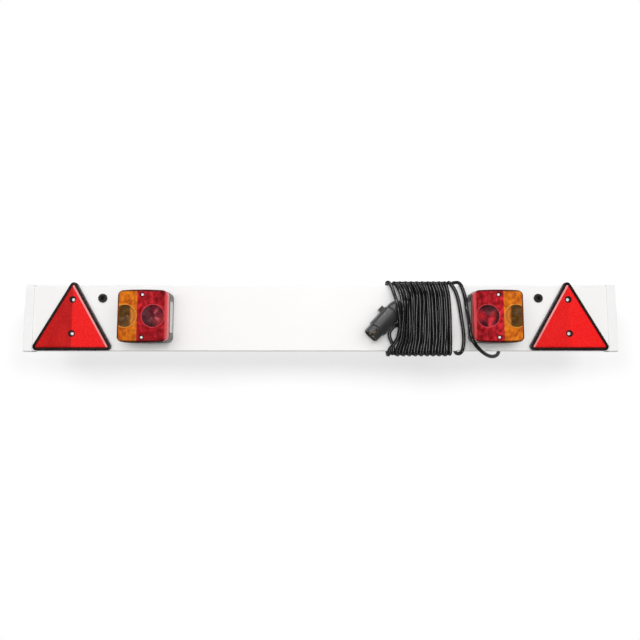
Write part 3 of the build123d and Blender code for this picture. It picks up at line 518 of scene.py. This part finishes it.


# Lens tones: deep, middle and bright for the body, pale for the painted highlight lines and ring and the
# inboard wall painted as light, and the wall's paler foot
red_tones = (
    (0.24, 0.005, 0.009), (0.48, 0.01, 0.018), (0.86, 0.026, 0.045), (0.9, 0.1, 0.11), (1.0, 0.3, 0.3)
)
amber_tones = (
    (0.38, 0.07, 0.005), (0.64, 0.145, 0.006), (0.84, 0.25, 0.01), (0.92, 0.45, 0.08), (0.92, 0.45, 0.08)
)
rubber = moulded("black_rubber", (0.006, 0.006, 0.006), (0.016, 0.016, 0.016), (0.5, 0.7), grain=700)
steel_tones = (0.4, 0.4, 0.39), (0.55, 0.55, 0.53)
finishes = {
    "board_panel": plank_finish(),
    "end_cap": moulded("cap_white", (0.92, 0.912, 0.906), (0.945, 0.94, 0.935), (0.34, 0.46), grain=1200,
                       depth=0.00002, specular_ior_level=0.12),
    "fixing_bush": rubber,
    "lamp_gasket": rubber,
    "link_grommets": rubber,
    "main_cable_grommet": rubber,
    "cable_exit_grommet": rubber,
    "reflector_frame": moulded("reflector_black", (0.012, 0.005, 0.005), (0.026, 0.009, 0.009), (0.2, 0.32),
                               specular_ior_level=0.9),
    # Painted shade on the reflectors' left halves, deeper on the left triangle
    "reflector_lens_left": reflector_finish("reflector_red_left", -1, (0.95, 0.005, 0.005), painted_shade=0.56),
    "reflector_lens_right": reflector_finish("reflector_red_right", 1, (1.0, 0.004, 0.004), painted_shade=0.87),
    "reflector_rivets": metal("rivet_aluminium", (0.86, 0.86, 0.86), (0.96, 0.96, 0.96), (0.5, 0.62),
                              metallic=0.2),
    # The last colour is the painted shade of each lens's outline and screw wells
    "red_lens": lens_finish("lens_red", STOP_OPTIC, red_tones, (0.03, 0.004, 0.005)),
    "amber_lens": lens_finish("lens_amber", TURN_OPTIC, amber_tones, (0.05, 0.015, 0.004)),
    "lamp_base": moulded("lamp_grey", (0.13, 0.125, 0.12), (0.2, 0.19, 0.185), (0.35, 0.5)),
    "plate_window": window_finish(),
    "bulb_glass": glass_finish(),
    "bulb_cap": metal("bulb_brass", (0.6, 0.42, 0.16), (0.8, 0.6, 0.28), (0.25, 0.4)),
    "bulb_holder": metal("holder_steel", (0.5, 0.5, 0.5), (0.66, 0.66, 0.65), (0.3, 0.45)),
    "lamp_wires": moulded("wire", (0.45, 0.06, 0.05), (0.6, 0.1, 0.08), (0.35, 0.5)),
    "lens_screws": screw_finish(),
    "lamp_bolts": metal("bolt_steel", *steel_tones, (0.28, 0.42), metallic=0.5),
    "lamp_washers": metal("washer_steel", *steel_tones, (0.3, 0.44), metallic=0.5),
    "lamp_nuts": metal("nut_steel", *steel_tones, (0.28, 0.42), metallic=0.5),
    "cable": moulded("cable_black", (0.003, 0.003, 0.0033), (0.007, 0.007, 0.0073), (0.19, 0.24), patch=90,
                     grain=120, depth=0.000004, specular_ior_level=0.95),
    "plug_body": moulded("plug_black", (0.02, 0.02, 0.0205), (0.034, 0.034, 0.035), (0.34, 0.42), grain=1100,
                         specular_ior_level=1.0, coat_weight=0.5, coat_roughness=0.32),
    "plug_insert": moulded("plug_insert", (0.03, 0.028, 0.026), (0.06, 0.055, 0.05), (0.4, 0.55)),
    "plug_pins": metal("pin_brass", (0.7, 0.45, 0.17), (0.95, 0.7, 0.34), (0.2, 0.35), metallic=0.5),
}
for name in ("link_cable", "cable_inlet", "cable_tail", "cable_winding", "plug_cable_end"):
    finishes[name] = finishes["cable"]
finishes["plug_rear_cap"] = finishes["plug_body"]
for use in ("stop", "turn"):
    for piece in ("bulb_glass", "bulb_cap", "bulb_holder"):
        finishes[f"{use}_{piece}"] = finishes[piece]


def paint(piece, material):
    """One material all over a piece."""
    piece.data.materials.clear()
    piece.data.materials.append(material)


for name, node in nodes.items():
    stem = name.removesuffix("_left").removesuffix("_right")
    paint(node, finishes[name] if name in finishes else finishes[stem])
paint(cable, finishes["cable"])

# Lens optics: fans of small prisms inside the rings moulded on the lenses, in these tones, painted as the
# reflections, shade and glints seen in the prisms
DARK, DEEP, SMOKE = (0.055, 0.004, 0.008), (0.115, 0.006, 0.014), (0.12, 0.024, 0.034)
WINE, CRIMSON, RED = (0.21, 0.012, 0.028), (0.31, 0.013, 0.022), (0.46, 0.009, 0.018)
BRIGHT, GLINT = (0.8, 0.024, 0.042), (0.62, 0.11, 0.13)
BROWN, OLIVE = (0.085, 0.034, 0.006), (0.15, 0.066, 0.01)
ORANGE, GOLD = (0.5, 0.125, 0.008), (0.74, 0.25, 0.03)

# A red fan's tone in the middle, then its tones round the turn from the right, half-way out and near the
# ring, painted reflections and shade different on each lamp
painted_red_fans = {
    "left": (
        DEEP,
        [WINE, WINE, GLINT, WINE, DEEP, DEEP, SMOKE, SMOKE,
         DEEP, DEEP, WINE, DEEP, WINE, CRIMSON, GLINT, WINE],
        [WINE, DEEP, WINE, DEEP, DEEP, SMOKE, SMOKE, SMOKE,
         DARK, DARK, DARK, DARK, DEEP, CRIMSON, CRIMSON, CRIMSON],
    ),
    "right": (
        WINE,
        [RED, RED, DEEP, DARK, DEEP, WINE, RED, RED,
         RED, RED, WINE, WINE, BRIGHT, BRIGHT, BRIGHT, RED],
        [DARK, DEEP, DARK, DARK, DARK, DARK, WINE, RED,
         RED, WINE, DARK, DARK, BRIGHT, WINE, DARK, DARK],
    ),
}


def blend(first, second, share):
    """A colour between two others."""
    return tuple(between(pair, max(0, min(1, share))) for pair in zip(first, second))


def past(value, start, width):
    """How far a value is past the start of a soft step, as a share of the step's width."""
    return (value - start) / width


# How many tones a red fan has round the turn, and how sharply they meet
TONES, SHARPNESS = 16, 1.6

# Start and width of the steps to a red fan's inner and outer tones, and to an amber fan's part painted
# brighter as light
TO_INNER, TO_OUTER, TO_CLEAR = (2.5, 5), (11, 6), (9.6, 2.4)


def painted_red_tint(side):
    """Painted reflection and shade tones of a stop optic by distance and angle."""
    middle, *rings = painted_red_fans[side]

    def tint(distance, angle):
        step = TONES * angle / (2 * pi) - 0.5
        first, share = int(step // 1), 0.5 + SHARPNESS * (step % 1 - 0.5)
        inner, outer = (blend(ring[first % TONES], ring[(first + 1) % TONES], share) for ring in rings)
        return blend(blend(middle, inner, past(distance, *TO_INNER)), outer, past(distance, *TO_OUTER))
    return tint


def painted_amber_tint(sign):
    """Painted tones of an indicator optic by distance and angle: painted shade, with a part painted brighter
    as light towards the seam.
    """
    def tint(distance, angle):
        dark = blend(BROWN, OLIVE, 0.5 + 0.5 * sin(3 * angle + distance / 3))
        clear = blend(ORANGE, GOLD, 0.5 + 0.5 * cos(distance / 1.3))
        return blend(dark, clear, past(-sign * distance * cos(angle), *TO_CLEAR))
    return tint


# A fan's rings, sectors and hole; a facet's corners by ring, sector and height; its shortest edge in metres
FAN_RINGS, FAN_SECTORS, FAN_HOLE = 7, 64, 0.6
FACET = ((0, 0, 0.12), (1, 0, 0.4), (1, 1, 0.26), (0, 1, 0.12))
SHORTEST = 1e-5


def fan(name, centre, tint):
    """A round field of tilted facets on a lens face, cut off at the lens's outer edge."""
    limit = LAMP_X + LAMP_EDGE
    made = bmesh.new()
    tints = []
    for ring in range(FAN_RINGS):
        for sector in range(FAN_SECTORS):
            corners, colours = [], []
            for out, turn, high in FACET:
                distance = max(FAN_HOLE, OPTIC_RADIUS * (ring + out) / FAN_RINGS)
                angle = 2 * pi * (sector + turn) / FAN_SECTORS
                across = max(-limit, min(limit, centre + distance * cos(angle)))
                corners.append(at(across, FRONT - LAMP_FACE - high, distance * sin(angle)))
                colours.append(tint(distance, angle))
            if min((corners[1] - corners[0]).length, (corners[2] - corners[1]).length) < SHORTEST:
                continue
            made.faces.new([made.verts.new(corner) for corner in corners])
            tints += colours
    mesh = bpy.data.meshes.new(name)
    made.to_mesh(mesh)
    made.free()
    layer = mesh.color_attributes.new("tint", "FLOAT_COLOR", "CORNER")
    for corner, colour in zip(layer.data, tints):
        corner.color = (*colour, 1)
    piece = add(name, mesh)
    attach(piece, "root")
    return piece


red_optic, amber_optic = optic_finish("optic_red"), optic_finish("optic_amber")
for side, sign in (("left", -1), ("right", 1)):
    stop = fan(f"stop_optic_{side}", sign * (LAMP_X + STOP_OPTIC), painted_red_tint(side))
    paint(stop, red_optic)
    turn = fan(f"turn_optic_{side}", sign * (LAMP_X + TURN_OPTIC), painted_amber_tint(sign))
    paint(turn, amber_optic)

# Pale surface behind the plank that catches its soft shadow, clear far from it and when seen from behind
FLOOR_Y, FLOOR_REACH, FLOOR_CLEAR = 0.058, 4, (0.25, 0.55)
FLOOR_COLOUR, FLOOR_LIFT = (0.2, 0.2, 0.2, 1), 0.71
sheet = bpy.data.meshes.new("pale_floor")
sheet.from_pydata(
    [(x * FLOOR_REACH, FLOOR_Y, z * FLOOR_REACH) for x, z in ((-1, -1), (1, -1), (1, 1), (-1, 1))],
    [], [(0, 1, 2, 3)],
)
floor = add("pale_floor", sheet)
floor.visible_shadow = floor.visible_diffuse = floor.visible_glossy = False
floor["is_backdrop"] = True
pale = Surface("pale_floor")
white = pale.node("ShaderNodeBsdfDiffuse")
white.inputs["Color"].default_value = FLOOR_COLOUR
lift = pale.node("ShaderNodeEmission")
seen = pale.node("ShaderNodeLightPath").outputs["Is Camera Ray"]
pale.link(pale.times(seen, FLOOR_LIFT), lift.inputs["Strength"])
both = pale.node("ShaderNodeAddShader")
pale.link(white.outputs[0], both.inputs[0])
pale.link(lift.outputs[0], both.inputs[1])
past_end = pale.most(pale.math("SUBTRACT", pale.math("ABSOLUTE", pale.x), HALF_LENGTH / 1000), 0)
away = pale.near(past_end, pale.rise)
behind = pale.node("ShaderNodeNewGeometry").outputs["Backfacing"]
either = pale.node("ShaderNodeMixShader")
pale.link(pale.most(behind, pale.spread(away, FLOOR_CLEAR, (0, 1))), either.inputs[0])
pale.link(both.outputs[0], either.inputs[1])
pale.link(pale.node("ShaderNodeBsdfTransparent").outputs[0], either.inputs[2])
pale.link(either.outputs[0], pale.tree.nodes["Material Output"].inputs[0])
pale.tree.nodes.remove(pale.shader)
paint(floor, pale.material)

# Surround: white to the camera and through glass, weak as light, and in gloss dark in front and pale behind
SURROUND_LIGHT, SURROUND_SEEN = 0.2, 1.0
GLOSS_FROM_Y, GLOSS_LIGHT = (-0.3, 0.45), (0.02, 0.3)
world = scene.world or bpy.data.worlds.new("world")
scene.world = world
world.use_nodes = True
tree = world.node_tree
tree.nodes.clear()
path = tree.nodes.new("ShaderNodeLightPath")
direction = tree.nodes.new("ShaderNodeSeparateXYZ")
tree.links.new(tree.nodes.new("ShaderNodeTexCoord").outputs["Generated"], direction.inputs[0])
room = tree.nodes.new("ShaderNodeMapRange")
for socket, number in zip(room.inputs[1:5], (*GLOSS_FROM_Y, *GLOSS_LIGHT)):
    socket.default_value = number
tree.links.new(direction.outputs["Y"], room.inputs[0])


def pick(share, first, second):
    """The first value, or the second where share is 1."""
    made = tree.nodes.new("ShaderNodeMix")
    for index, value in ((0, share), (2, first), (3, second)):
        if isinstance(value, bpy.types.NodeSocket):
            tree.links.new(value, made.inputs[index])
        else:
            made.inputs[index].default_value = value
    return made.outputs[0]


strength = pick(path.outputs["Is Glossy Ray"], SURROUND_LIGHT, room.outputs[0])
strength = pick(path.outputs["Is Transmission Ray"], strength, SURROUND_SEEN)
strength = pick(path.outputs["Is Camera Ray"], strength, SURROUND_SEEN)
surround = tree.nodes.new("ShaderNodeBackground")
tree.links.new(strength, surround.inputs["Strength"])
surround.inputs["Color"].default_value = (*WHITE, 1)
tree.links.new(surround.outputs[0], tree.nodes.new("ShaderNodeOutputWorld").inputs[0])


def lamp(name, kind, strength, place, towards, group=None, **settings):
    """A light at a place, pointing at another, and what it reaches if that isn't everything."""
    data = bpy.data.lights.new(name, kind)
    data.energy = strength
    for key, value in settings.items():
        setattr(data, key, value)
    made = add(name, data)
    aim(made, place, towards)
    made.light_linking.receiver_collection = group
    return made


def soft_box(name, strength, place, towards, wide, tall, group=None):
    """A rectangular light."""
    return lamp(name, "AREA", strength, place, towards, group, shape="RECTANGLE", size=wide, size_y=tall)


def light_group(name, state, *pieces):
    """What a light reaches: these pieces alone, or all but these."""
    made = bpy.data.collections.new(name)
    for piece in pieces:
        made.objects.link(piece)
    for member in made.collection_objects:
        member.light_linking.link_state = state
    return made


backdrop = light_group("lit_backdrop", "INCLUDE", floor)
part = light_group("lit_part", "EXCLUDE", floor)
hard_part = light_group("lit_hard_part", "EXCLUDE", floor, cable)

# Wide suns that shape the shadow on the backdrop, and flatter ones for the part
for name, strength, width, place, group in (
    ("backdrop_key", 1.0, 34, (0, -1, 0.75), backdrop),
    ("backdrop_left", 3.0, 30, (-1, -1, 0.68), backdrop),
    ("backdrop_right", 3.0, 30, (1, -1, 0.68), backdrop),
    ("key", 0.72, 50, (0, -1, 0.45), part),
    ("side_left", 0.6, 50, (-0.65, -1, 0.2), part),
    ("side_right", 0.6, 50, (0.65, -1, 0.2), part),
):
    sun = lamp(name, "SUN", strength, place, (0, 0, 0), group, angle=radians(width))
    sun.visible_glossy = False

# A wide box in front, one behind, and a small one for each triangle
soft_box("front_box", 17.0, (0, -2.6, 0.1), target, wide=0.85, tall=1.25, group=part)
rear = soft_box("rear_box", 27.0, (0.3, 1.7, 0.5), at(0, 0, 0), wide=1.4, tall=0.8)
rear.visible_glossy = False
for side, sign in (("left", -1), ("right", 1)):
    soft_box(f"glint_{side}", 0.6, (sign * 0.15, -0.35, 0.66), at(-sign * 500, FRONT, 0), wide=0.3, tall=0.06)

# Strips that only show in gloss: two for the cable's strands, and one for the plug that leaves the cable out
for name, strength, place, wide, tall, group in (
    ("strip_above", 5.0, (0.1, -1.2, 1.45), 0.35, 1.5, part),
    ("strip_below", 7.0, (0.1, -1.4, -1.3), 0.35, 1.5, part),
    ("strip_left", 6.0, (-0.95, -1.3, 0.85), 0.5, 0.5, hard_part),
):
    strip = soft_box(name, strength, place, at(150, FRONT, 0), wide, tall, group)
    strip.visible_diffuse = False

scene.view_settings.view_transform = "Standard"
[[list(corner) for corner in box] for box in (cad_box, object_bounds())]
